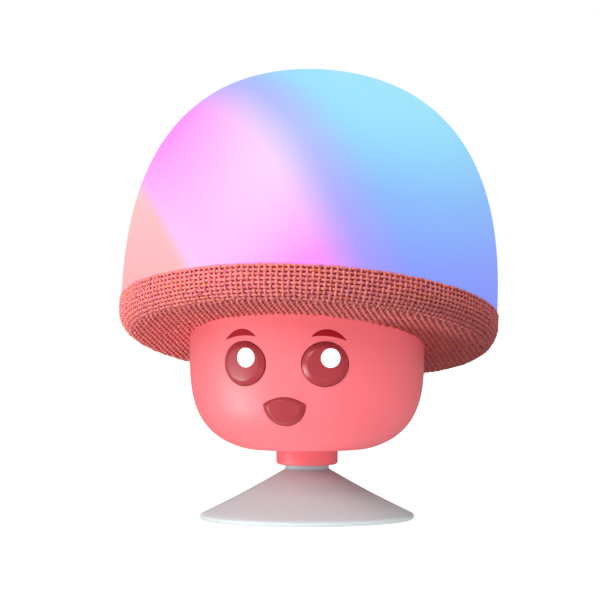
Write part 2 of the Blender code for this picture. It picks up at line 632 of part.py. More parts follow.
def main():
    for old in list(bpy.data.objects):
        bpy.data.objects.remove(old)
    material("helper", (0.5, 0.5, 0.5), 0.5)
    material("zinc", (0.62, 0.63, 0.65), 0.35, 1.0)
    coral = material("coral_abs", (1.0, 0.21, 0.24), 0.42)
    coral_frame = material("coral_frame_abs", (0.72, 0.14, 0.15), 0.5)
    cloth = material("woven_polyester", (0.78, 0.19, 0.16), 0.9)
    diffuser = material("milky_polycarbonate", (0.72, 0.62, 0.98), 0.3)
    face_dark = material("gloss_maroon_abs", (0.44, 0.075, 0.085), 0.25)
    face_white = material("gloss_white_abs", (0.95, 0.94, 0.94), 0.25)
    brow_red = material("red_inlay", (0.45, 0.012, 0.025), 0.4)
    silicone = material("frosted_silicone", (0.58, 0.52, 0.53), 0.45)
    key_rubber = material("coral_silicone_rubber", (0.78, 0.13, 0.15), 0.6)
    seal_rubber = material("black_rubber", (0.03, 0.03, 0.03), 0.7)
    steel = material("steel", (0.6, 0.61, 0.63), 0.3, 1.0)
    ferrite = material("ferrite", (0.07, 0.07, 0.075), 0.6)
    paper = material("paper_pulp", (0.05, 0.05, 0.055), 0.8)
    copper = material("copper_wire", (0.72, 0.32, 0.16), 0.35, 1.0)
    spider_cloth = material("resin_cloth", (0.55, 0.38, 0.16), 0.85)
    white_abs = material("white_abs", (0.86, 0.86, 0.85), 0.45)
    led_body = material("led_package", (0.92, 0.9, 0.8), 0.3)
    green_board = material("green_circuit_board", (0.03, 0.2, 0.09), 0.4)
    epoxy = material("black_epoxy", (0.03, 0.03, 0.032), 0.5)
    cell_wrap = material("blue_shrink_wrap", (0.04, 0.16, 0.5), 0.4)
    grey_abs = material("grey_abs", (0.3, 0.31, 0.32), 0.55)
    red_lead = material("red_pvc", (0.6, 0.03, 0.03), 0.5)
    grey_lead = material("grey_pvc", (0.35, 0.35, 0.36), 0.5)

    stand = bpy.data.objects.new("stand", None)
    stand.location = (0, STAND_Y * MM, 0)
    bpy.context.scene.collection.objects.link(stand)
    cap = bpy.data.objects.new("cap_tilt", None)
    cap.parent = stand
    cap.location = Vector(CAP_CENTRE) * MM
    cap.rotation_euler = (-CAP_TILT, 0, 0)
    bpy.context.scene.collection.objects.link(cap)

    dome_shell(diffuser, cap)
    dome_seal(seal_rubber, cap)
    plug = head_plug("head_outline", GAP)
    brim_fabric(cloth, cap, plug)
    brim_frame(coral_frame, cap, plug)
    baffle(white_abs, cap)
    lights(white_abs, led_body, white_abs, cap)
    driver((steel, ferrite, paper, seal_rubber, copper, spider_cloth), cap)
    deflector(grey_abs, cap)

    shell = head_shell(coral, cap)
    face(shell, (face_dark, face_white, brow_red))
    buttons(shell, key_rubber, epoxy, green_board)
    port(shell, key_rubber, steel)
    neck(coral, steel, seal_rubber)
    electronics(green_board, epoxy, steel, cell_wrap, grey_abs, red_lead, grey_lead, cap)

    suction_cup(silicone)
    stud(steel)


main()
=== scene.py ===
"""Looks of the mushroom shower speaker: a lit milky dome, a woven brim, a coral head with a face,
keys and a charging flap at the back, and a frosted suction cup.

Lengths are in millimetres until a finished mesh is turned into metres. The cap is worked out about
its own Z axis and leant back at the end; the head and the cup stand on the stand's axis.
"""

import json
import math

import bmesh
import bpy
from bpy.props import FloatProperty, FloatVectorProperty, PointerProperty
from mathutils import Matrix, Vector, noise


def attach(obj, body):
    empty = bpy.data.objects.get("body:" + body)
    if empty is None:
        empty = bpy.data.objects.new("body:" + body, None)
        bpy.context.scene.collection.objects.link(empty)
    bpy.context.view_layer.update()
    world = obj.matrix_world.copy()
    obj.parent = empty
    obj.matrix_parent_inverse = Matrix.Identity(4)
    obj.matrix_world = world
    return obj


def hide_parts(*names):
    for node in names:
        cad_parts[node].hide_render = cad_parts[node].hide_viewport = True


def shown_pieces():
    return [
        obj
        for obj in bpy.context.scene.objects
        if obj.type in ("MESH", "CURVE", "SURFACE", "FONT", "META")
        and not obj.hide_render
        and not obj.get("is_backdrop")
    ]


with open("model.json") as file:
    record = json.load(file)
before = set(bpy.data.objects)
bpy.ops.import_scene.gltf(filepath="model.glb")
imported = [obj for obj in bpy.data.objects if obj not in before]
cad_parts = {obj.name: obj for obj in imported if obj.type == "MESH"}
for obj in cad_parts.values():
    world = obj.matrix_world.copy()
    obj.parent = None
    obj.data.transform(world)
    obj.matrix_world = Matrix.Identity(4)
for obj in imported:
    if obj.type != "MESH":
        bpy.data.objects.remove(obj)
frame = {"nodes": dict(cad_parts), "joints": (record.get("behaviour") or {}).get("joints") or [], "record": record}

bl_info = {
    "name": "Mushroom Speaker",
    "version": (1, 0, 0),
    "blender": (4, 5, 0),
    "location": "View3D > Sidebar > Speaker",
    "description": "Builds the outside of a mushroom-shaped shower speaker round its frame",
    "category": "Add Mesh",
}

MM = 0.001
TURN = 2 * math.pi
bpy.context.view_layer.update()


def joint(name):
    return next(j for j in frame["joints"] if j["name"] == name)


STAND = Vector(joint("head_swivel")["pos_m"]) / MM
STAND.z = 0.0
CAP_AXIS = Vector(joint("cone_excursion")["axis"]).normalized()
CAP_LEAN = math.atan2(CAP_AXIS.y, CAP_AXIS.z)


# ------------------------ settings

def length(name, default, description):
    """A length in millimetres."""
    return FloatProperty(name=name, default=default, description=description, min=0.0)


def hex_colour(text):
    """An sRGB hex value as the linear colour that shaders take."""
    parts = [int(text[i:i + 2], 16) / 255 for i in (0, 2, 4)]
    return tuple(v / 12.92 if v <= 0.04045 else ((v + 0.055) / 1.055) ** 2.4 for v in parts)


def tint(name, text, description):
    return FloatVectorProperty(
        name=name, default=hex_colour(text), description=description, subtype="COLOR", min=0, max=1
    )


class SpeakerSizes(bpy.types.PropertyGroup):
    dome_radius: length("Dome radius", 48.4, "Radius of the dome at its foot")
    dome_height: length("Dome height", 60.9, "Height of the dome above its foot")
    dome_power: FloatProperty(
        name="Dome fullness", default=2.5, min=2.0, max=4.0,
        description="Power of the dome's curve, from 2 for round to 4 for boxy",
    )
    cap_back: length("Cap offset", 2.7, "How far the dome's foot sits behind the stand's axis")
    cap_rise: length("Cap height", 54.0, "Height of the dome's foot above the floor")
    brim_radius: length("Brim radius", 48.8, "Outer radius of the woven brim")
    brim_depth: length("Brim depth", 9.3, "From the dome's foot down to the brim's underside")
    brim_round: length("Brim rounding", 6.2, "Radius of the brim's lower edge")
    thread_pitch: length("Thread pitch", 1.5, "From one thread to the next along the brim")
    row_pitch: length("Row pitch", 1.2, "From one row of threads to the next")
    head_radius: length("Head radius", 30.1, "Largest radius of the head")
    head_top_radius: length("Head top radius", 29.3, "Radius of the head inside the brim")
    head_wide: length("Widest height", 44.0, "Height at which the head is widest")
    head_drop: length("Head drop", 27.0, "From the widest height down to the end of the curve")
    head_power: FloatProperty(
        name="Head fullness", default=3.14, min=2.0, max=5.0,
        description="Power of the head's lower curve",
    )
    cup_radius: length("Cup radius", 27.5, "Outer radius of the suction cup's lip")
    cup_neck: length("Cup neck radius", 5.6, "Radius of the cup's neck")


class SpeakerColours(bpy.types.PropertyGroup):
    coral: tint("Coral", "F6737B", "Head, collar and keys")
    maroon: tint("Maroon", "A0343C", "Eyes and mouth")
    crimson: tint("Crimson", "9C0E1C", "Brows")
    yarn_light: tint("Light yarn", "FF9492", "Lightest fibres of the brim")
    yarn_orange: tint("Orange yarn", "F4825E", "Orange fibres of the brim")
    yarn_mauve: tint("Mauve yarn", "E06A80", "Mauve fibres of the brim")
    silicone: tint("Silicone", "CAD6D8", "Suction cup")


class StageSettings(bpy.types.PropertyGroup):
    azimuth: FloatProperty(
        name="Azimuth", default=11.5, description="Camera's direction round the speaker, in degrees"
    )
    elevation: FloatProperty(
        name="Elevation", default=1.1, description="Camera's height above level, in degrees"
    )
    distance: FloatProperty(
        name="Distance", default=0.9, unit="LENGTH", description="Camera's distance"
    )
    view_width: FloatProperty(
        name="View width", default=0.154, unit="LENGTH", description="Width seen at the speaker"
    )


# ------------------------ meshes

def to_metres(bm, name, body, paint, matrix=None, crease=35):
    """Finishes a bmesh in millimetres as a piece in metres that rides on a body."""
    if matrix is not None:
        bmesh.ops.transform(bm, matrix=matrix, verts=bm.verts)
    bmesh.ops.scale(bm, vec=(MM, MM, MM), verts=bm.verts)
    mesh = bpy.data.meshes.new(name)
    bm.to_mesh(mesh)
    bm.free()
    mesh.shade_smooth()
    mesh.set_sharp_from_angle(angle=math.radians(crease))
    piece = bpy.data.objects.new(name, mesh)
    bpy.context.scene.collection.objects.link(piece)
    mesh.materials.append(paint)
    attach(piece, body)
    return piece


def sealed(bm):
    """Merges doubles and turns every face outwards."""
    bmesh.ops.remove_doubles(bm, verts=bm.verts, dist=1e-4)
    bmesh.ops.recalc_face_normals(bm, faces=bm.faces)
    return bm


def lathe(profile, segments, closed=True):
    """A bmesh turned about Z from (radius, height) points; an open profile ends on Z."""
    bm = bmesh.new()
    points = [bm.verts.new((r, 0.0, z)) for r, z in profile]
    edges = [bm.edges.new(pair) for pair in zip(points, points[1:])]
    if closed:
        edges.append(bm.edges.new((points[-1], points[0])))
    bmesh.ops.spin(
        bm, geom=points + edges, cent=(0, 0, 0), axis=(0, 0, 1), angle=TURN,
        steps=segments, use_merge=True, use_duplicate=False,
    )
    return sealed(bm)


def arc(centre, radius, first, last, steps):
    angles = [math.radians(first + (last - first) * i / steps) for i in range(steps + 1)]
    return [(centre[0] + radius * math.cos(a), centre[1] + radius * math.sin(a)) for a in angles]


def superellipse(radius, height, power, first, last, steps):
    """(radius, height) points, the angle running from 0 at the widest place to 90 on the axis."""
    points = []
    for i in range(steps + 1):
        a = math.radians(first + (last - first) * i / steps)
        r = radius * max(math.cos(a), 0.0) ** (2 / power)
        points.append((r if r > 1e-6 else 0.0, height * math.sin(a) ** (2 / power)))
    return points


def box(low, high, bevel, segments=2):
    bm = bmesh.new()
    bmesh.ops.create_cube(bm, size=1.0)
    size = [h - l for l, h in zip(low, high)]
    middle = [(h + l) / 2 for l, h in zip(low, high)]
    bmesh.ops.scale(bm, vec=size, verts=bm.verts)
    bmesh.ops.translate(bm, vec=middle, verts=bm.verts)
    if bevel:
        bmesh.ops.bevel(
            bm, geom=list(bm.edges), offset=bevel, segments=segments, profile=0.5,
            affect="EDGES", material=-1,
        )
    return bm


def rod(radius, low, high, segments=48):
    return lathe([(0, low), (radius, low), (radius, high), (0, high)], segments, closed=False)


def moved(bm, matrix):
    bmesh.ops.transform(bm, matrix=matrix, verts=bm.verts)
    return bm


def as_helper(bm, name):
    mesh = bpy.data.meshes.new(name)
    bm.to_mesh(mesh)
    bm.free()
    helper = bpy.data.objects.new(name, mesh)
    bpy.context.scene.collection.objects.link(helper)
    return helper


def carved(bm, cuts, adds=()):
    """A new bmesh with helper solids added and taken away; the helpers are used up."""
    body = as_helper(bm, "blank")
    helpers = [(as_helper(h, "add"), "UNION") for h in adds]
    helpers += [(as_helper(h, "cut"), "DIFFERENCE") for h in cuts]
    for helper, operation in helpers:
        boolean = body.modifiers.new(operation, "BOOLEAN")
        boolean.operation = operation
        boolean.solver = "EXACT"
        boolean.object = helper
    graph = bpy.context.evaluated_depsgraph_get()
    result = bpy.data.meshes.new_from_object(body.evaluated_get(graph))
    made = bmesh.new()
    made.from_mesh(result)
    for helper in [body] + [h for h, _ in helpers]:
        bpy.data.objects.remove(helper)
    bpy.data.meshes.remove(result)
    return made


# ------------------------ the speaker's own curves

def sizes():
    return bpy.context.scene.speaker_sizes


def colours():
    return bpy.context.scene.speaker_colours


def cap_place():
    """From the cap's own frame, in millimetres, to the part's."""
    s = sizes()
    return (Matrix.Translation((STAND.x, STAND.y + s.cap_back, s.cap_rise))
            @ Matrix.Rotation(-CAP_LEAN, 4, "X"))


def stand_place():
    return Matrix.Translation(STAND)


def head_radius(z):
    s = sizes()
    if z >= s.head_wide:
        share = (z - s.head_wide) / 16.0
        return s.head_radius - (s.head_radius - s.head_top_radius) * share
    fall = min((s.head_wide - z) / s.head_drop, 1.0)
    return s.head_radius * (1 - fall ** s.head_power) ** (1 / s.head_power)


def on_head(u, z, out):
    """A point out from the head's surface, u along it from the middle of the face."""
    angle = u / sizes().head_radius
    r, step = head_radius(z), 0.05
    slope = (head_radius(z + step) - head_radius(z - step)) / (2 * step)
    normal = Vector((1.0, -slope)).normalized()
    r, z = r + normal.x * out, z + normal.y * out
    return Vector((r * math.sin(angle), -r * math.cos(angle), z))


def facing_back(angle, z):
    """Turns +Z of a shape to point out of the head's back, at an angle and a height."""
    return (stand_place() @ Matrix.Translation((0, 0, z)) @ Matrix.Rotation(-angle, 4, "Z")
            @ Matrix.Rotation(-math.pi / 2, 4, "X"))


# ------------------------ materials

def add(tree, kind, settings=None, links=None, **values):
    """Adds a node: attributes in settings, sockets by name in links, socket values as keywords."""
    node = tree.nodes.new(kind)
    for name, value in (settings or {}).items():
        setattr(node, name, value)
    for name, value in values.items():
        node.inputs[name.replace("_", " ")].default_value = value
    for name, source in (links or {}).items():
        tree.links.new(source, node.inputs[name])
    return node


def ramp(tree, factor, stops):
    node = add(tree, "ShaderNodeValToRGB", links={"Fac": factor})
    while len(node.color_ramp.elements) < len(stops):
        node.color_ramp.elements.new(0.5)
    for element, (place, colour) in zip(node.color_ramp.elements, stops):
        element.position = place
        element.color = (*colour[:3], 1.0)
    return node.outputs["Color"]


def blank(name):
    """A material with its tree, its shader and the object's coordinates."""
    made = bpy.data.materials.new(name)
    made.use_nodes = True
    tree = made.node_tree
    coords = add(tree, "ShaderNodeTexCoord").outputs["Object"]
    return made, tree, tree.nodes["Principled BSDF"], coords


def grainy(name, colour, rough, grain_mm, bump, metallic=0.0, mottle=0.06, ior=1.5, **shader):
    """A moulded or plated finish: a fine grain, and a little unevenness in the colour."""
    made, tree, bsdf, coords = blank(name)
    grain = add(tree, "ShaderNodeTexNoise", links={"Vector": coords},
                Scale=1 / (grain_mm * MM), Detail=4.0, Roughness=0.6)
    patches = add(tree, "ShaderNodeTexNoise", links={"Vector": coords}, Scale=70.0, Detail=3.0)
    dark = tuple(c * (1 - mottle) for c in colour)
    light = tuple(min(c * (1 + mottle), 1.0) for c in colour)
    tree.links.new(ramp(tree, patches.outputs["Fac"], ((0.3, dark), (0.7, light))),
                   bsdf.inputs["Base Color"])
    gloss = add(tree, "ShaderNodeMapRange", links={"Value": grain.outputs["Fac"]},
                To_Min=rough * 0.88, To_Max=rough * 1.12)
    tree.links.new(gloss.outputs["Result"], bsdf.inputs["Roughness"])
    dents = add(tree, "ShaderNodeBump", links={"Height": grain.outputs["Fac"]},
                Strength=bump, Distance=grain_mm * MM * 0.3)
    tree.links.new(dents.outputs["Normal"], bsdf.inputs["Normal"])
    bsdf.inputs["Metallic"].default_value = metallic
    if not metallic:
        bsdf.inputs["IOR"].default_value = ior
    for socket, value in shader.items():
        bsdf.inputs[socket.replace("_", " ")].default_value = value
    return made


def once(make):
    """Makes a material on first use and hands the same one out after that."""
    kept = {}

    def get():
        if "made" not in kept:
            kept["made"] = make()
        return kept["made"]
    return get


def slant(tree, coords, direction, low, high, mode="LINEAR"):
    """Goes from 0 to 1 as the place along a direction goes from low to high, in millimetres."""
    along = add(tree, "ShaderNodeVectorMath", {"operation": "DOT_PRODUCT"}, {0: coords})
    along.inputs[1].default_value = direction
    span = add(tree, "ShaderNodeMapRange", {"interpolation_type": mode},
               {"Value": along.outputs["Value"]}, From_Min=low * MM, From_Max=high * MM)
    return span.outputs["Result"]


def blended(tree, factor, first, second):
    mix = add(tree, "ShaderNodeMix", {"data_type": "RGBA"}, {0: factor})
    for socket, source in ((6, first), (7, second)):
        if isinstance(source, tuple):
            mix.inputs[socket].default_value = (*source, 1.0)
        else:
            tree.links.new(source, mix.inputs[socket])
    return mix.outputs[2]


@once
def milky_polycarbonate():
    """Milky polycarbonate, injection moulded: bands of colour that glow, as if lit from behind."""
    made, tree, bsdf, coords = blank("milky_polycarbonate_lit")
    # Pink lies in a saddle: deepest at the upper left and lower right, palest between them.
    aside = slant(tree, coords, (1, 0, 0), -56, 24)
    above = slant(tree, coords, (0, 0, 1), 40, 120)
    saddle = add(tree, "ShaderNodeMath", {"operation": "MULTIPLY"})
    for i, side in enumerate((aside, above)):
        centred = add(tree, "ShaderNodeMath", {"operation": "SUBTRACT"}, {0: side})
        centred.inputs[1].default_value = 0.5
        tree.links.new(centred.outputs["Value"], saddle.inputs[i])
    spread = add(tree, "ShaderNodeMapRange", links={"Value": saddle.outputs["Value"]},
                 From_Min=-0.05, From_Max=0.05)
    pink = ramp(tree, spread.outputs["Result"], (
        (0.0, hex_colour("FF92FF")), (0.5, hex_colour("FFBAFF")), (1.0, hex_colour("FFDCFE")),
    ))
    salmon = ramp(tree, slant(tree, coords, (0, 0, 1), 54, 84), (
        (0.0, hex_colour("FFAEB2")), (1.0, hex_colour("FFC4C8")),
    ))
    warm = blended(tree, slant(tree, coords, (1, 0.3, 0.51), -4.5, 0.5, "SMOOTHSTEP"), salmon, pink)
    cold = ramp(tree, slant(tree, coords, (0.45, -0.2, 1), 75, 120), (
        (0.00, hex_colour("8292FD")), (0.27, hex_colour("8AA0FE")), (0.60, hex_colour("8CBDFE")),
        (0.86, hex_colour("96DCFF")), (1.00, hex_colour("9EE6FF")),
    ))
    lean = (1, 0.74, 0.38)
    violet = ramp(tree, slant(tree, coords, (0, 0, 1), 64, 114), (
        (0.0, hex_colour("A898FF")), (0.35, hex_colour("ACA8FF")), (0.7, hex_colour("B8BEFF")),
        (1.0, hex_colour("B2B4FF")),
    ))
    lilac = blended(tree, slant(tree, coords, lean, -1, 18, "SMOOTHSTEP"), warm, violet)
    bands = blended(tree, slant(tree, coords, lean, 12, 34, "SMOOTHSTEP"), lilac, cold)
    shell = add(tree, "ShaderNodeVectorMath", {"operation": "SCALE"}, {0: bands})
    shell.inputs["Scale"].default_value = 0.12
    tree.links.new(bands, bsdf.inputs["Emission Color"])
    tree.links.new(shell.outputs["Vector"], bsdf.inputs["Base Color"])
    bsdf.inputs["Emission Strength"].default_value = 0.87
    bsdf.inputs["Roughness"].default_value = 0.5
    bsdf.inputs["IOR"].default_value = 1.58
    return made


@once
def melange_yarn():
    """Polyester melange yarn, spun and woven: short runs of coral, orange and mauve."""
    made, tree, bsdf, coords = blank("melange_polyester_yarn")
    c = colours()
    runs = add(tree, "ShaderNodeTexNoise", links={"Vector": coords}, Scale=850.0, Detail=2.0,
               Roughness=0.6)
    shade = ramp(tree, runs.outputs["Fac"], (
        (0.34, c.yarn_mauve), (0.47, c.yarn_light), (0.55, c.yarn_light), (0.66, c.yarn_orange),
    ))
    # Fibres are about 0.02 mm thick; they are drawn ten times as coarse so that they show.
    fibres = add(tree, "ShaderNodeTexNoise", links={"Vector": coords}, Scale=5000.0, Detail=2.0)
    fuzz = add(tree, "ShaderNodeBump", links={"Height": fibres.outputs["Fac"]},
               Strength=0.7, Distance=0.00012)
    tree.links.new(shade, bsdf.inputs["Base Color"])
    tree.links.new(fuzz.outputs["Normal"], bsdf.inputs["Normal"])
    bsdf.inputs["Roughness"].default_value = 0.85
    bsdf.inputs["Sheen Weight"].default_value = 0.08
    bsdf.inputs["Sheen Tint"].default_value = (*c.yarn_light, 1.0)
    bsdf.inputs["Specular IOR Level"].default_value = 0.25
    return made


@once
def felt_lining():
    """Needled polyester felt behind the weave: a matt red that lies in shade in the holes."""
    return grainy("red_polyester_felt", hex_colour("D8505C"), 0.95, 0.25, 0.8, mottle=0.3)


@once
def coral_abs():
    """ABS with a soft satin texture from the mould: even colour with a broad, soft highlight."""
    return grainy("coral_abs_moulded", colours().coral, 0.42, 0.16, 0.08, mottle=0.02,
                  Subsurface_Weight=0.25, Subsurface_Radius=(0.006, 0.002, 0.002),
                  Subsurface_Scale=0.6)


@once
def maroon_abs():
    """ABS, polished mould: a clear reflection on a deep red-brown."""
    return grainy("maroon_abs_polished", colours().maroon, 0.34, 0.4, 0.02, mottle=0.04,
                  Coat_Weight=0.15, Coat_Roughness=0.2)


@once
def white_abs_gloss():
    """ABS, polished mould: clean white, with a slight glow so that it stays white in shade."""
    return grainy("white_abs_polished", hex_colour("FFFFFF"), 0.2, 0.4, 0.02, mottle=0.01,
                  Emission_Color=(1, 1, 1, 1), Emission_Strength=0.25)


@once
def crimson_inlay():
    """Screen-printed enamel in a shallow recess: flat crimson with a slight shine."""
    return grainy("crimson_enamel", colours().crimson, 0.7, 0.2, 0.05, mottle=0.05,
                  Specular_IOR_Level=0.25)


@once
def frosted_silicone():
    """Silicone rubber from a blasted mould: milky, it lets light into its thin skirt."""
    made, tree, bsdf, coords = blank("frosted_silicone_rubber")
    c = colours().silicone
    # Painted counter-light: a little darker part way up, then paler and cooler at the neck, to offset some of the
    # coral light that the head throws there.
    counter_tint_at_neck = (0.68, 0.88, 0.9)
    height = add(tree, "ShaderNodeSeparateXYZ", links={"Vector": coords})
    up = add(tree, "ShaderNodeMapRange", links={"Value": height.outputs["Z"]},
             From_Min=0.0, From_Max=0.0145)
    # The ramp by height is painted light, not the silicone's own colour.
    shade = ramp(tree, up.outputs["Result"], (
        (0.0, tuple(c)), (0.55, tuple(v * 0.88 for v in c)), (1.0, counter_tint_at_neck),
    ))
    frost = add(tree, "ShaderNodeTexNoise", links={"Vector": coords}, Scale=9000.0, Detail=2.0)
    skin = add(tree, "ShaderNodeBump", links={"Height": frost.outputs["Fac"]},
               Strength=0.25, Distance=0.00004)
    tree.links.new(shade, bsdf.inputs["Base Color"])
    tree.links.new(skin.outputs["Normal"], bsdf.inputs["Normal"])
    bsdf.inputs["Roughness"].default_value = 0.5
    bsdf.inputs["IOR"].default_value = 1.41
    bsdf.inputs["Transmission Weight"].default_value = 0.1
    bsdf.inputs["Subsurface Weight"].default_value = 0.6
    bsdf.inputs["Subsurface Radius"].default_value = (0.006, 0.005, 0.005)
    bsdf.inputs["Subsurface Scale"].default_value = 1.0
    return made


@once
def coral_rubber():
    """Silicone rubber, moulded: coral and dead matt."""
    return grainy("coral_silicone_rubber", hex_colour("EE6A72"), 0.65, 0.12, 0.3, mottle=0.03)


# The parts inside. Each slot's material, colour, roughness, grain in mm, bump and metallic.
SLOT_FINISHES = {
    # Dead matt, with a fine tooth.
    "black_rubber": ("nitrile_rubber_moulded", "2A2A2B", 0.75, 0.15, 0.4, 0.0),
    # A soft grey shine, slightly rolled.
    "steel": ("steel_rolled", "C4C6CA", 0.32, 0.3, 0.1, 1.0),
    # A broken, spangled reflection.
    "zinc": ("steel_zinc_plated", "CDD0D4", 0.38, 0.5, 0.25, 1.0),
    # Dull and a little pitted.
    "ferrite": ("ferrite_sintered", "3A3A3C", 0.7, 0.2, 0.5, 0.0),
    # Fibrous, without a shine.
    "paper_pulp": ("paper_pulp_pressed", "2E2E30", 0.85, 0.4, 0.6, 0.0),
    # Warm and ridged.
    "copper_wire": ("copper_wire_enamelled", "C87A48", 0.3, 0.3, 0.3, 1.0),
    # Amber, matt and rough.
    "resin_cloth": ("cotton_cloth_resin_dipped", "B8904E", 0.85, 0.5, 0.6, 0.0),
    # A satin face.
    "white_abs": ("white_abs_moulded", "EFEFED", 0.45, 0.2, 0.1, 0.0),
    # Cream, with a slight gloss.
    "led_package": ("ceramic_package_phosphor_filled", "F6F0DC", 0.3, 0.3, 0.05, 0.0),
    # Green lacquer over cloth.
    "green_circuit_board": ("glass_epoxy_solder_masked", "1F6B3C", 0.35, 0.6, 0.1, 0.0),
    # Dark and finely blasted.
    "black_epoxy": ("epoxy_transfer_moulded", "2C2C2E", 0.55, 0.12, 0.3, 0.0),
    # A wavy shine.
    "blue_shrink_wrap": ("pvc_film_heat_shrunk", "2F66B8", 0.3, 0.8, 0.1, 0.0),
    # A light mould texture.
    "grey_abs": ("grey_abs_moulded", "8E9092", 0.5, 0.2, 0.15, 0.0),
    # A duller coral than the head's.
    "coral_frame_abs": ("coral_frame_abs_moulded", "D96A70", 0.5, 0.2, 0.15, 0.0),
    # A smooth sleeve, softly glossy.
    "red_pvc": ("red_pvc_extruded", "C8322E", 0.4, 0.3, 0.1, 0.0),
    # The same sleeve in grey.
    "grey_pvc": ("grey_pvc_extruded", "9A9A9E", 0.4, 0.3, 0.1, 0.0),
}


# ------------------------ dome

class MakeDome(bpy.types.Operator):
    """Milky dome with a rounded foot that stands on the brim"""
    bl_idname = "speaker.dome"
    bl_label = "Dome"

    def execute(self, context):
        s = context.scene.speaker_sizes
        wall, spigot = 2.4, 2.0
        outer = superellipse(s.dome_radius, s.dome_height, s.dome_power, 0, 90, 44)
        inner = superellipse(s.dome_radius - 3.2, s.dome_height - wall, s.dome_power, 90, 0, 30)
        edge = 0.25
        foot = [(s.dome_radius - 3.2, -spigot), (s.dome_radius - 1.8, -spigot),
                (s.dome_radius - 1.8, 0.0), (s.dome_radius - edge, 0.0)]
        lip = arc((s.dome_radius - edge, edge), edge, -60, 0, 3)
        outer = [(r, h) for r, h in outer if h > edge + 0.2]
        bm = lathe(inner + foot + lip + outer, 144, closed=False)
        piece = to_metres(bm, "dome_shell", "head",
                          milky_polycarbonate(), cap_place())
        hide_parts("dome")
        return {"FINISHED"}


# ------------------------ brim

THREAD_WIDE, THREAD_THICK, THREAD_SWAY = 0.38, 0.26, 0.18
THREAD_SIDES = 6
STEPS_PER_CROSSING = 4
BAND_END = 66.0           # how far round the lower edge the upright threads go, in degrees
LINING_HOLE = 30.6        # radius of the hole in the lining, just outside the head
# Size and reach of the two waves that make the threads uneven.
WAVES = ((2.4, 0.17), (0.9, 0.09))


def brim_surface(run):
    """Place and outward normal on the brim's skin, run millimetres down from the dome's foot."""
    s = sizes()
    straight = s.brim_depth - s.brim_round
    if run <= straight:
        return Vector((s.brim_radius, 0, -run)), Vector((1, 0, 0))
    turn = min((run - straight) / s.brim_round, math.pi / 2)
    rest = max(run - straight - s.brim_round * math.pi / 2, 0)
    normal = Vector((math.cos(turn), 0, -math.sin(turn)))
    middle = Vector((s.brim_radius - s.brim_round - rest, 0, -straight))
    return middle + normal * s.brim_round, normal


def underside_height(r):
    """Height of the brim's skin at a radius inside its rounded edge."""
    s = sizes()
    inner = s.brim_radius - s.brim_round
    if r <= inner:
        return -s.brim_depth
    return -s.brim_depth + s.brim_round - math.sqrt(max(s.brim_round ** 2 - (r - inner) ** 2, 0))


def tube(bm, places):
    """Sweeps a flat oval thread through matrices whose X is across it and Y is its thickness."""
    ring = bmesh.ops.create_circle(bm, segments=THREAD_SIDES, radius=1.0)["verts"]
    bmesh.ops.scale(bm, vec=(THREAD_WIDE, THREAD_THICK, 1), verts=ring)
    bmesh.ops.transform(bm, matrix=places[0], verts=ring)
    edges = [e for e in bm.edges if e.verts[0] in ring and e.verts[1] in ring]
    for before, after in zip(places, places[1:]):
        made = bmesh.ops.extrude_edge_only(bm, edges=edges)["geom"]
        ring = [g for g in made if isinstance(g, bmesh.types.BMVert)]
        edges = [g for g in made if isinstance(g, bmesh.types.BMEdge)
                 and g.verts[0] in ring and g.verts[1] in ring]
        bmesh.ops.transform(bm, matrix=after @ before.inverted(), verts=ring)


def basis(across, thickness, along, place):
    return Matrix.Translation(place) @ Matrix((across, thickness, along)).transposed().to_4x4()


def round_the_cap(bm, copies):
    """Repeats everything in the bmesh evenly about the cap's axis."""
    geometry = list(bm.verts) + list(bm.edges) + list(bm.faces)
    bmesh.ops.spin(
        bm, geom=geometry, cent=(0, 0, 0), axis=(0, 0, 1), angle=TURN * (copies - 1) / copies,
        steps=copies - 1, use_merge=False, use_duplicate=True,
    )


def uneven(bm):
    """Moves each point a little, so that no two threads lie alike."""
    for v in bm.verts:
        v.co += sum((noise.noise_vector(v.co / size) * reach for size, reach in WAVES), Vector())
    return bm


def band_layout():
    s = sizes()
    columns = 2 * round(TURN * s.brim_radius / s.thread_pitch / 2)
    run = s.brim_depth - s.brim_round + s.brim_round * math.radians(BAND_END)
    rows = round(run / s.row_pitch)
    return columns, rows, run / rows


def band_uprights():
    """Threads that run from the dome's foot down over the edge."""
    columns, rows, pitch = band_layout()
    bm = bmesh.new()
    for k in range(2):
        angle = TURN * k / columns
        turn = Matrix.Rotation(angle, 4, "Z")
        places = []
        for i in range(1, rows * STEPS_PER_CROSSING + 1):
            v = i / STEPS_PER_CROSSING
            skin, normal = brim_surface(v * pitch)
            sway = THREAD_SWAY * math.cos(math.pi * (v - 0.5 + k))
            tucked = max(0.4 - v, 0)
            place = skin + normal * (sway - THREAD_SWAY - THREAD_THICK - tucked)
            along = Vector((normal.z, 0, -normal.x))
            places.append(turn @ basis(Vector((0, 1, 0)), normal, along, place))
        tube(bm, places)
    round_the_cap(bm, columns // 2)
    return uneven(sealed(bm))


def band_rounds():
    """Threads that run round the brim."""
    columns, rows, pitch = band_layout()
    bm = bmesh.new()
    step = TURN / columns
    for j in range(rows):
        skin, normal = brim_surface((j + 0.5) * pitch)
        places = []
        for i in range(2 * STEPS_PER_CROSSING + 1):
            u = i / STEPS_PER_CROSSING
            sway = -THREAD_SWAY * math.cos(math.pi * (u + j))
            place = skin + normal * (sway - THREAD_SWAY - THREAD_THICK)
            across = Vector((-normal.z, 0, normal.x))
            turn = Matrix.Rotation(u * step, 4, "Z")
            places.append(turn @ basis(across, normal, Vector((0, 1, 0)), place))
        tube(bm, places)
    round_the_cap(bm, columns // 2)
    return uneven(sealed(bm))


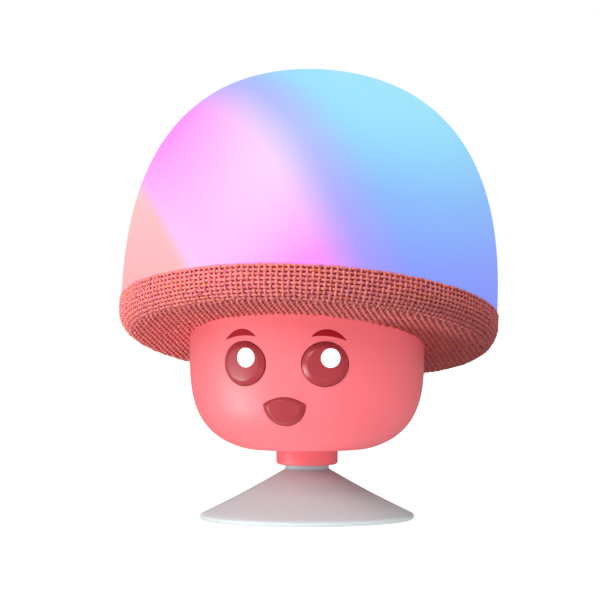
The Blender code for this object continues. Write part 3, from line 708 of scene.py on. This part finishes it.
def underside_threads(along_y):
    """Straight threads of the flat underside, woven over and under and laid on its skin."""
    s = sizes()
    reach = s.brim_radius - s.brim_round + s.brim_round * math.cos(math.radians(BAND_END)) + 0.3
    hole = s.head_top_radius - 0.4
    pitch, cross = s.thread_pitch, s.row_pitch
    if not along_y:
        pitch, cross = cross, pitch
    half = int(reach / cross) + 1
    bm = bmesh.new()
    for k in range(2):
        places = []
        for i in range(2 * half * STEPS_PER_CROSSING + 1):
            v = i / STEPS_PER_CROSSING - half
            sway = (1 if along_y else -1) * THREAD_SWAY * math.cos(math.pi * (v + k))
            depth = 0.0 if along_y else 0.25
            place = Vector((k * pitch, v * cross, depth - sway * 0.7))
            places.append(basis(Vector((1, 0, 0)), Vector((0, 0, -1)), Vector((0, 1, 0)), place))
        tube(bm, places)
    pair = list(bm.verts) + list(bm.edges) + list(bm.faces)
    count = int(reach / (2 * pitch)) + 1
    for n in range(-count, count + 1):
        if n:
            made = bmesh.ops.duplicate(bm, geom=pair)["geom"]
            fresh = [g for g in made if isinstance(g, bmesh.types.BMVert)]
            bmesh.ops.translate(bm, vec=(2 * n * pitch, 0, 0), verts=fresh)
    if not along_y:
        bmesh.ops.rotate(bm, cent=(0, 0, 0), matrix=Matrix.Rotation(math.pi / 2, 3, "Z"),
                         verts=bm.verts)
    outside = [v for v in bm.verts if not hole < math.hypot(v.co.x, v.co.y) < reach]
    bmesh.ops.delete(bm, geom=outside, context="VERTS")
    for v in bm.verts:
        v.co.z += underside_height(math.hypot(v.co.x, v.co.y)) + THREAD_SWAY + THREAD_THICK
    return uneven(sealed(bm))


class MakeBrim(bpy.types.Operator):
    """Woven brim: a felt lining with crossing threads over it"""
    bl_idname = "speaker.brim"
    bl_label = "Woven brim"

    def execute(self, context):
        s = context.scene.speaker_sizes
        steps = 28
        whole = s.brim_depth - s.brim_round + s.brim_round * math.pi / 2
        inset = 2 * THREAD_THICK + THREAD_SWAY
        profile = []
        for i in range(steps + 1):
            skin, normal = brim_surface(0.3 + (whole - 0.3) * i / steps)
            place = skin - normal * inset
            profile.append((place.x, place.z))
        profile.append((LINING_HOLE, profile[-1][1]))
        bm = bmesh.new()
        points = [bm.verts.new((r, 0.0, z)) for r, z in profile]
        edges = [bm.edges.new(pair) for pair in zip(points, points[1:])]
        bmesh.ops.spin(bm, geom=points + edges, cent=(0, 0, 0), axis=(0, 0, 1), angle=TURN,
                       steps=144, use_merge=True, use_duplicate=False)
        sealed(bm)
        area = sum(f.calc_area() for f in bm.faces) * MM ** 2
        lining = to_metres(bm, "brim_lining", "head", felt_lining(), cap_place())
        threads = (
            ("brim_uprights", band_uprights()), ("brim_rounds", band_rounds()),
            ("underside_lengthways", underside_threads(True)),
            ("underside_crossways", underside_threads(False)),
        )
        woven = [to_metres(bm, name, "head", melange_yarn(), cap_place(), 80)
                 for name, bm in threads]
        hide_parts("brim_fabric")
        return {"FINISHED"}


# ------------------------ head

EYE_U, EYE_Z = 10.55, 40.8
EYE_HALF = (5.88, 5.45)
EYE_SIZE, MOUTH_SIZE = 5.6, 4.2      # typical radii, which turn a chamfer's width into a scale
GAP, POCKET = 0.24, 0.6              # room round a pad, and how deep its pocket is
BROW_U, BROW_Z, BROW_HALF = 11.7, 48.5, 4.45
MOUTH_Z, MOUTH_HALF = 30.65, 5.4
BUTTONS = {"minus": -44, "light": -25, "power": 25, "plus": 44}
BUTTON_Z, BUTTON_R = 31.5, 3.0
PORT_Z, PORT_LEAN = 29.5, math.radians(18.0)
FLAP_HALF_X, FLAP_HALF_Z = 6.2, 3.0
HINGE_Y, HINGE_R = -0.55, 0.55


def port_place():
    return (stand_place() @ Matrix.Translation((0, head_radius(PORT_Z), PORT_Z))
            @ Matrix.Rotation(-PORT_LEAN, 4, "X"))


class MakeHead(bpy.types.Operator):
    """Coral head shell with its wall, its key holes and the recess of the charging port"""
    bl_idname = "speaker.head"
    bl_label = "Head"

    def execute(self, context):
        s = context.scene.speaker_sizes
        floor_z, wall, bore = 18.2, 2.2, 6.6
        fall = (s.head_wide - floor_z) / s.head_drop
        last = math.degrees(math.asin(fall ** (s.head_power / 2)))
        rising = superellipse(s.head_radius, s.head_drop, s.head_power, 0, last, 40)
        outer = [(r, s.head_wide - h) for r, h in reversed(rising)]
        steps = 12
        top = [(head_radius(s.head_wide + 14 * i / steps), s.head_wide + 14 * i / steps)
               for i in range(1, steps + 1)]
        blunt = 0.5
        outer[0] = (outer[0][0] - blunt * 0.4, floor_z)
        inner = [(r - wall, z + (wall if z < 24 else 0)) for r, z in reversed(outer + top)
                 if r - wall > bore + 1]
        profile = [(bore, floor_z), *outer, *top, *inner, (bore, floor_z + wall)]
        shell = lathe(profile, 160)
        moved(shell, stand_place())
        rim = cap_place() @ Vector((0, 0, -6.5))
        up = (cap_place().to_3x3() @ Vector((0, 0, 1))).normalized()
        cut = bmesh.ops.bisect_plane(shell, geom=list(shell.verts) + list(shell.edges)
                                     + list(shell.faces), plane_co=rim, plane_no=up,
                                     clear_outer=True)["geom_cut"]
        edges = [g for g in cut if isinstance(g, bmesh.types.BMEdge)]
        bmesh.ops.bridge_loops(shell, edges=edges)
        sealed(shell)
        cuts = [moved(rod(BUTTON_R + 0.3, 24.0, 34.0), facing_back(math.radians(a), BUTTON_Z))
                for a in BUTTONS.values()]
        place = port_place()
        lie = Matrix.Translation((0, HINGE_Y, -FLAP_HALF_Z)) @ Matrix.Rotation(math.pi / 2, 4, "Y")
        cuts += [
            moved(box((-FLAP_HALF_X - 0.3, -1.4, -FLAP_HALF_Z - 0.3),
                      (FLAP_HALF_X + 0.3, 6, FLAP_HALF_Z + 0.3), 0.0), place),
            moved(rod(HINGE_R + 0.55, -FLAP_HALF_X - 0.3, FLAP_HALF_X + 0.3, 24), place @ lie),
            moved(box((-4.8, -6, -2.1), (4.8, 2, 1.9), 0.6), place),
        ]
        cuts += [recess(oval(*EYE_HALF), (side * EYE_U, EYE_Z), EYE_SIZE, GAP, POCKET)
                 for side in (-1, 1)]
        cuts.append(recess(smile(MOUTH_HALF), (0.0, MOUTH_Z), MOUTH_SIZE, GAP, POCKET))
        shell = carved(shell, cuts)
        piece = to_metres(shell, "head_cover", "head", coral_abs(), crease=28)
        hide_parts("head_shell")
        return {"FINISHED"}


# ------------------------ face

def oval(half_u, half_z, count=64):
    return [(half_u * math.cos(TURN * i / count), half_z * math.sin(TURN * i / count))
            for i in range(count)]


def crescent(half, side, steps=24):
    """A brow: a high upper arc over a flatter one, its outer end a little lower."""
    points = []
    for low, high, order in ((-1.2, 0.9, 1), (-1.4, -0.8, -1)):
        for i in range(steps + 1):
            t = order * (1 - 2 * i / steps)
            rise = low + (high - low) * (1 - abs(t) ** 2.2)
            points.append((t * half, rise - 0.5 * side * t))
    return points


def smile(half, steps=24):
    """A mouth: a shallow arch above a deep rounded chin."""
    points = []
    for i in range(steps + 1):
        t = 1 - 2 * i / steps
        points.append((t * half, 1.75 * (1 - abs(t) ** 1.9) + 0.05))
    for i in range(1, 2 * steps):
        a = math.pi * i / (2 * steps)
        points.append((-math.cos(a) * half, -5.2 * math.sin(a) ** 0.88))
    return points


def pad(outline, middle, levels, crown):
    """A solid that follows the head: (scale, out) rings from its buried face to its front."""
    bm = bmesh.new()
    flat = [bm.verts.new((u, z, 0.0)) for u, z in outline]
    face = bm.faces.new(flat)
    heights = {v: levels[0] for v in flat}
    for n, level in enumerate(levels[1:]):
        made = bmesh.ops.extrude_face_region(bm, geom=[face])["geom"]
        if n:
            bmesh.ops.delete(bm, geom=[face], context="FACES_ONLY")
        for g in made:
            if isinstance(g, bmesh.types.BMVert):
                heights[g] = level
        face = next(g for g in made if isinstance(g, bmesh.types.BMFace))
    centre = bmesh.ops.poke(bm, faces=[face])["verts"][0]
    heights[centre] = (0.0, levels[-1][1] + crown)
    for v in bm.verts:
        scale, out = heights[v]
        v.co = on_head(middle[0] + v.co.x * scale, middle[1] + v.co.y * scale, out)
    return sealed(bm)


def cushion(size, proud, chamfer, width, crown, buried):
    """Levels of a pad: an upright side, a softened chamfer and a slightly domed front."""
    soft, shoulder = chamfer * 0.2, proud - chamfer
    levels = [(1.0, -buried), (1.0, shoulder - soft), (1.0, shoulder)]
    levels += [(1 - soft / size * 0.5, shoulder + soft), (1 - width * 0.86 / size, proud - soft)]
    levels += [(1 - width / size, proud - soft * 0.3), (1 - width * 1.16 / size, proud)]
    start = levels[-1][0]
    levels += [(start * share, proud + crown * (1 - share ** 2))
               for share in (0.97, 0.8, 0.55, 0.25)]
    return levels, crown * 0.06


def recess(outline, middle, size, room, depth):
    """A cutter for the pocket that a pad sits in, a little wider than the pad."""
    scale = 1 + room / size
    return moved(pad(outline, middle, [(scale, -depth), (scale, 0.0), (scale, 2.0)], 0.0),
                 stand_place())


class MakeFace(bpy.types.Operator):
    """Two eyes with glints, two brows and a mouth"""
    bl_idname = "speaker.face"
    bl_label = "Face"

    def execute(self, context):
        for side, label in ((-1, "left"), (1, "right")):
            middle = (side * EYE_U, EYE_Z)
            levels, crown = cushion(EYE_SIZE, 1.05, 0.85, 1.25, 0.06, 0.65)
            bm = pad(oval(*EYE_HALF), middle, levels, crown)
            eye = to_metres(bm, f"eye_pad_{label}", "head", maroon_abs(),
                            stand_place(), 50)
            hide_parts(f"eye_{label}")
            spot = (middle[0] + 1.15, middle[1] + 1.55)
            levels, crown = cushion(2.3, 1.28, 0.1, 0.12, 0.02, -0.7)
            bm = pad(oval(2.38, 2.4, 48), spot, levels, crown)
            glint = to_metres(bm, f"glint_{label}", "head", white_abs_gloss(),
                              stand_place())
            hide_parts(f"eye_glint_{label}")
            levels, crown = cushion(1.6, 0.12, 0.1, 0.12, 0.02, 0.4)
            arch = (side * BROW_U - 0.15, BROW_Z)
            bm = pad(crescent(BROW_HALF, side), arch, levels, crown)
            brow = to_metres(bm, f"brow_inlay_{label}", "head", crimson_inlay(),
                             stand_place())
            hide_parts(f"brow_{label}")
        levels, crown = cushion(MOUTH_SIZE, 1.0, 0.8, 0.95, 0.06, 0.65)
        bm = pad(smile(MOUTH_HALF), (0.0, MOUTH_Z), levels, crown)
        mouth = to_metres(bm, "mouth_pad", "head", maroon_abs(),
                          stand_place(), 50)
        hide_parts("mouth")
        return {"FINISHED"}


# ------------------------ keys and port

def key_mark(name, low, high):
    """The raised sign on a key: a bar, a cross, a ring with a stroke or a dot with rays."""
    bar = box((-1.3, -0.22, low), (1.3, 0.22, high), 0.08)
    if name == "minus":
        return [bar]
    if name == "plus":
        return [bar, box((-0.22, -1.3, low), (0.22, 1.3, high), 0.08)]
    ring = [(0.85, low), (1.25, low), (1.25, high), (0.85, high)]
    if name == "power":
        return [lathe(ring, 40), box((-0.2, 0.3, low), (0.2, 1.75, high), 0.06)]
    dot = [rod(0.62, low, high, 24)]
    rays = 8
    turns = [Matrix.Rotation(TURN * i / rays, 4, "Z") for i in range(rays)]
    return dot + [moved(box((-0.16, 1.0, low), (0.16, 1.6, high), 0.05), turn) for turn in turns]


class MakeKeys(bpy.types.Operator):
    """Four soft keys at the back, each with its raised sign"""
    bl_idname = "speaker.keys"
    bl_label = "Keys"

    def execute(self, context):
        flange = 23.4
        face = head_radius(BUTTON_Z) + 0.8
        for name, angle in BUTTONS.items():
            side = arc((BUTTON_R - 0.6, face - 0.6), 0.6, 0, 90, 6)
            section = [(0, flange), (3.5, flange), (3.5, flange + 0.8), (BUTTON_R, flange + 0.8)]
            key = lathe(section + side + [(0, face + 0.1)], 48, closed=False)
            key = carved(key, (), key_mark(name, face - 0.3, face + 0.22))
            piece = to_metres(key, f"key_{name}", f"key_{name}",
                              coral_rubber(), facing_back(math.radians(angle), BUTTON_Z), 30)
            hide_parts(f"button_{name}")
        return {"FINISHED"}


class MakePort(bpy.types.Operator):
    """Soft flap over the charging port, with its barrel, plug and finger lip"""
    bl_idname = "speaker.port"
    bl_label = "Charging port"

    def execute(self, context):
        s = context.scene.speaker_sizes
        place = port_place()
        plate = moved(box((-FLAP_HALF_X, -1.1, -FLAP_HALF_Z), (FLAP_HALF_X, 3, FLAP_HALF_Z), 0.35),
                      place)
        low, high, steps = 22.0, 38.0, 16
        heights = [low + (high - low) * i / steps for i in range(steps + 1)]
        beyond = [(head_radius(z) + 0.15, z) for z in heights]
        sleeve = [*beyond, (s.head_radius + 12, high), (s.head_radius + 12, low)]
        outside = moved(lathe(sleeve, 128), stand_place())
        lie = Matrix.Translation((0, HINGE_Y, -FLAP_HALF_Z)) @ Matrix.Rotation(math.pi / 2, 4, "Y")
        barrel = moved(rod(HINGE_R, -5.0, 5.0, 24), place @ lie)
        plug = moved(box((-4.0, -2.3, -1.1), (4.0, -0.6, 1.1), 0.4), place)
        nick = moved(rod(1.1, -1.2, 1.2, 24), place @ Matrix.Translation((0, 1.0, FLAP_HALF_Z))
                     @ Matrix.Rotation(math.pi / 2, 4, "Y"))
        flap = carved(carved(plate, [outside, nick]), (), [plug, barrel])
        piece = to_metres(flap, "charging_flap", "port_cover",
                          coral_rubber(), crease=30)
        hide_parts("port_flap")
        return {"FINISHED"}


# ------------------------ neck and cup

class MakeNeck(bpy.types.Operator):
    """Collar under the head, with a rounded lower edge"""
    bl_idname = "speaker.neck"
    bl_label = "Collar"

    def execute(self, context):
        low, top, r = 14.0, 17.9, 7.9
        profile = [(3.4, low + 1), (5.9, low + 1), (5.9, low + 0.2), (6.1, low)]
        profile += arc((r - 0.9, low + 0.9), 0.9, -90, 0, 8)
        profile += arc((r - 0.2, top - 0.2), 0.2, 0, 90, 3)
        profile += [(7.5, top), (7.5, top - 0.8), (6.2, top - 0.8), (6.2, 23.0), (3.4, 23.0)]
        piece = to_metres(lathe(profile, 96), "collar", "head", coral_abs(),
                          stand_place())
        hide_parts("neck_collar")
        return {"FINISHED"}


class MakeCup(bpy.types.Operator):
    """Frosted suction cup with a rounded lip and a hollow underside"""
    bl_idname = "speaker.cup"
    bl_label = "Suction cup"

    def execute(self, context):
        s = context.scene.speaker_sizes
        lip, neck_z, neck_top = 0.75, 12.6, 14.7
        under = [(0, 7.6), (2.5, 7.55), (5.0, 7.35), (7.5, 6.95), (10.0, 6.3), (12.5, 5.5),
                 (15.0, 4.6), (17.5, 3.62), (20.0, 2.6), (22.6, 1.45), (25.4, 0)]
        rim = [(26.9, 0)] + arc((s.cup_radius - lip, lip), lip, -70, 62, 10)
        steps = 14
        start, end = Vector(rim[-1]), Vector((s.cup_neck + 0.5, neck_z))
        # The skirt's outside is all but straight, a little hollow.
        slope = [start.lerp(end, i / steps) for i in range(1, steps + 1)]
        skirt = [(p.x, p.y - 0.3 * math.sin(math.pi * (i + 1) / steps))
                 for i, p in enumerate(slope)]
        neck = arc((s.cup_neck + 0.5, neck_z + 0.55), 0.5, -100, -180, 4)
        neck += [(s.cup_neck, neck_top), (3.3, neck_top)]
        pocket = [(3.3, 11.4), (4.5, 11.4), (4.5, 9.6), (0, 9.6)]
        bm = lathe(under + rim + skirt + neck + pocket, 128, closed=False)
        piece = to_metres(bm, "cup_skirt", "suction_mount",
                          frosted_silicone(), stand_place())
        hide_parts("suction_cup")
        return {"FINISHED"}


class PaintInside(bpy.types.Operator):
    """Finishes of the parts inside, which keep their shapes"""
    bl_idname = "speaker.inside"
    bl_label = "Inside parts"

    def execute(self, context):
        paints = {
            slot: grainy(name, hex_colour(text), *rest)
            for slot, (name, text, *rest) in SLOT_FINISHES.items()
        }
        for part in frame["record"]["subparts"]:
            node = frame["nodes"][part["node"]]
            paint = paints.get(part["material_slot"])
            if paint and not node.hide_render:
                for place in node.material_slots:
                    place.material = paint
        return {"FINISHED"}


# ------------------------ stage

def softbox(name, place, aim, power, size, glossy=True):
    data = bpy.data.lights.new(name, "AREA")
    data.energy = power
    data.size = size
    made = bpy.data.objects.new(name, data)
    made.location = place
    made.rotation_euler = (Vector(aim) - Vector(place)).to_track_quat("-Z", "Y").to_euler()
    made.visible_glossy = glossy
    bpy.context.scene.collection.objects.link(made)
    return made


class MakeStage(bpy.types.Operator):
    """Pale floor, soft lights and the camera"""
    bl_idname = "speaker.stage"
    bl_label = "Stage"

    def execute(self, context):
        settings = context.scene.speaker_stage
        bm = bmesh.new()
        bmesh.ops.create_grid(bm, x_segments=1, y_segments=1, size=3.0)
        mesh = bpy.data.meshes.new("floor")
        bm.to_mesh(mesh)
        bm.free()
        floor = bpy.data.objects.new("floor", mesh)
        context.scene.collection.objects.link(floor)
        # Opal acrylic sheet lit from below: plain white, without a horizon.
        mesh.materials.append(grainy(
            "backlit_white_acrylic", hex_colour("A8A8A8"), 0.9, 2.0, 0.0,
            mottle=0.0, Emission_Color=(1, 1, 1, 1), Emission_Strength=0.9,
        ))
        floor.visible_diffuse = floor.visible_glossy = floor.visible_shadow = False
        floor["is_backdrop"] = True

        world = bpy.data.worlds.new("studio")
        world.use_nodes = True
        tree = world.node_tree
        # The backdrop shows white, and gives less light than it shows.
        seen_light = add(tree, "ShaderNodeLightPath").outputs["Is Camera Ray"]
        level = add(tree, "ShaderNodeMapRange", links={"Value": seen_light},
                    To_Min=0.25, To_Max=1.0)
        tree.links.new(level.outputs["Result"], tree.nodes["Background"].inputs["Strength"])
        tree.nodes["Background"].inputs["Color"].default_value = (1, 1, 1, 1)
        context.scene.view_settings.view_transform = "Standard"
        context.scene.world = world

        middle = (0, 0, 0.055)
        softbox("high_light", (-0.4, -0.7, 0.65), middle, 6.5, 0.6)
        softbox("low_light", (-0.72, -0.38, -0.32), middle, 5.8, 0.5)
        fill = softbox("fill_light", (0.4, -0.65, -0.45), middle, 6.4, 0.5, glossy=False)
        softbox("back_light", (-0.3, 0.9, 0.3), middle, 1.8, 0.6, glossy=False)
        softbox("top_light", (0.0, 0.0, 1.0), middle, 1.3, 1.2)
        softbox("brim_light", (0.6, -0.45, 0.7), middle, 1.7, 0.5, glossy=False)
        # The fill is flagged off the brim, whose underside stays in shade.
        lit = bpy.data.collections.new("lit_by_fill")
        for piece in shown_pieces():
            if not piece.name.startswith(("brim", "underside")):
                lit.objects.link(piece)
        fill.light_linking.receiver_collection = lit

        camera = bpy.data.cameras.new("camera")
        seen = bpy.data.objects.new("camera", camera)
        context.scene.collection.objects.link(seen)
        a, e = math.radians(settings.azimuth), math.radians(settings.elevation)
        back = Vector((math.sin(a) * math.cos(e), -math.cos(a) * math.cos(e), math.sin(e)))
        right = Vector((math.cos(a), math.sin(a), 0))
        aim = Vector((STAND.x, STAND.y, 56.17)) * MM - right * 0.0018
        seen.location = aim + back * settings.distance
        seen.rotation_euler = (-back).to_track_quat("-Z", "Y").to_euler()
        camera.sensor_width = 36.0
        camera.lens = 36.0 * settings.distance / settings.view_width
        context.scene.camera = seen
        return {"FINISHED"}


# ------------------------ add-on

STEPS = (MakeDome, MakeBrim, MakeHead, MakeFace, MakeKeys, MakePort, MakeNeck, MakeCup,
         PaintInside, MakeStage)


class SpeakerPanel(bpy.types.Panel):
    """Lists the pieces and their settings"""
    bl_idname = "VIEW3D_PT_speaker"
    bl_label = "Mushroom Speaker"
    bl_space_type = "VIEW_3D"
    bl_region_type = "UI"
    bl_category = "Speaker"

    def draw(self, context):
        for step in STEPS:
            self.layout.operator(step.bl_idname)
        for group in (context.scene.speaker_sizes, context.scene.speaker_colours,
                      context.scene.speaker_stage):
            for name in group.bl_rna.properties.keys():
                if name not in ("rna_type", "name"):
                    self.layout.prop(group, name)


CLASSES = (SpeakerSizes, SpeakerColours, StageSettings, *STEPS, SpeakerPanel)


def register():
    for each in CLASSES:
        bpy.utils.register_class(each)
    bpy.types.Scene.speaker_sizes = PointerProperty(type=SpeakerSizes)
    bpy.types.Scene.speaker_colours = PointerProperty(type=SpeakerColours)
    bpy.types.Scene.speaker_stage = PointerProperty(type=StageSettings)


def unregister():
    del bpy.types.Scene.speaker_sizes
    del bpy.types.Scene.speaker_colours
    del bpy.types.Scene.speaker_stage
    for each in reversed(CLASSES):
        bpy.utils.unregister_class(each)


def main():
    register()
    for step in STEPS:
        group, name = step.bl_idname.split(".")
        getattr(getattr(bpy.ops, group), name)()


if __name__ == "__main__":
    main()
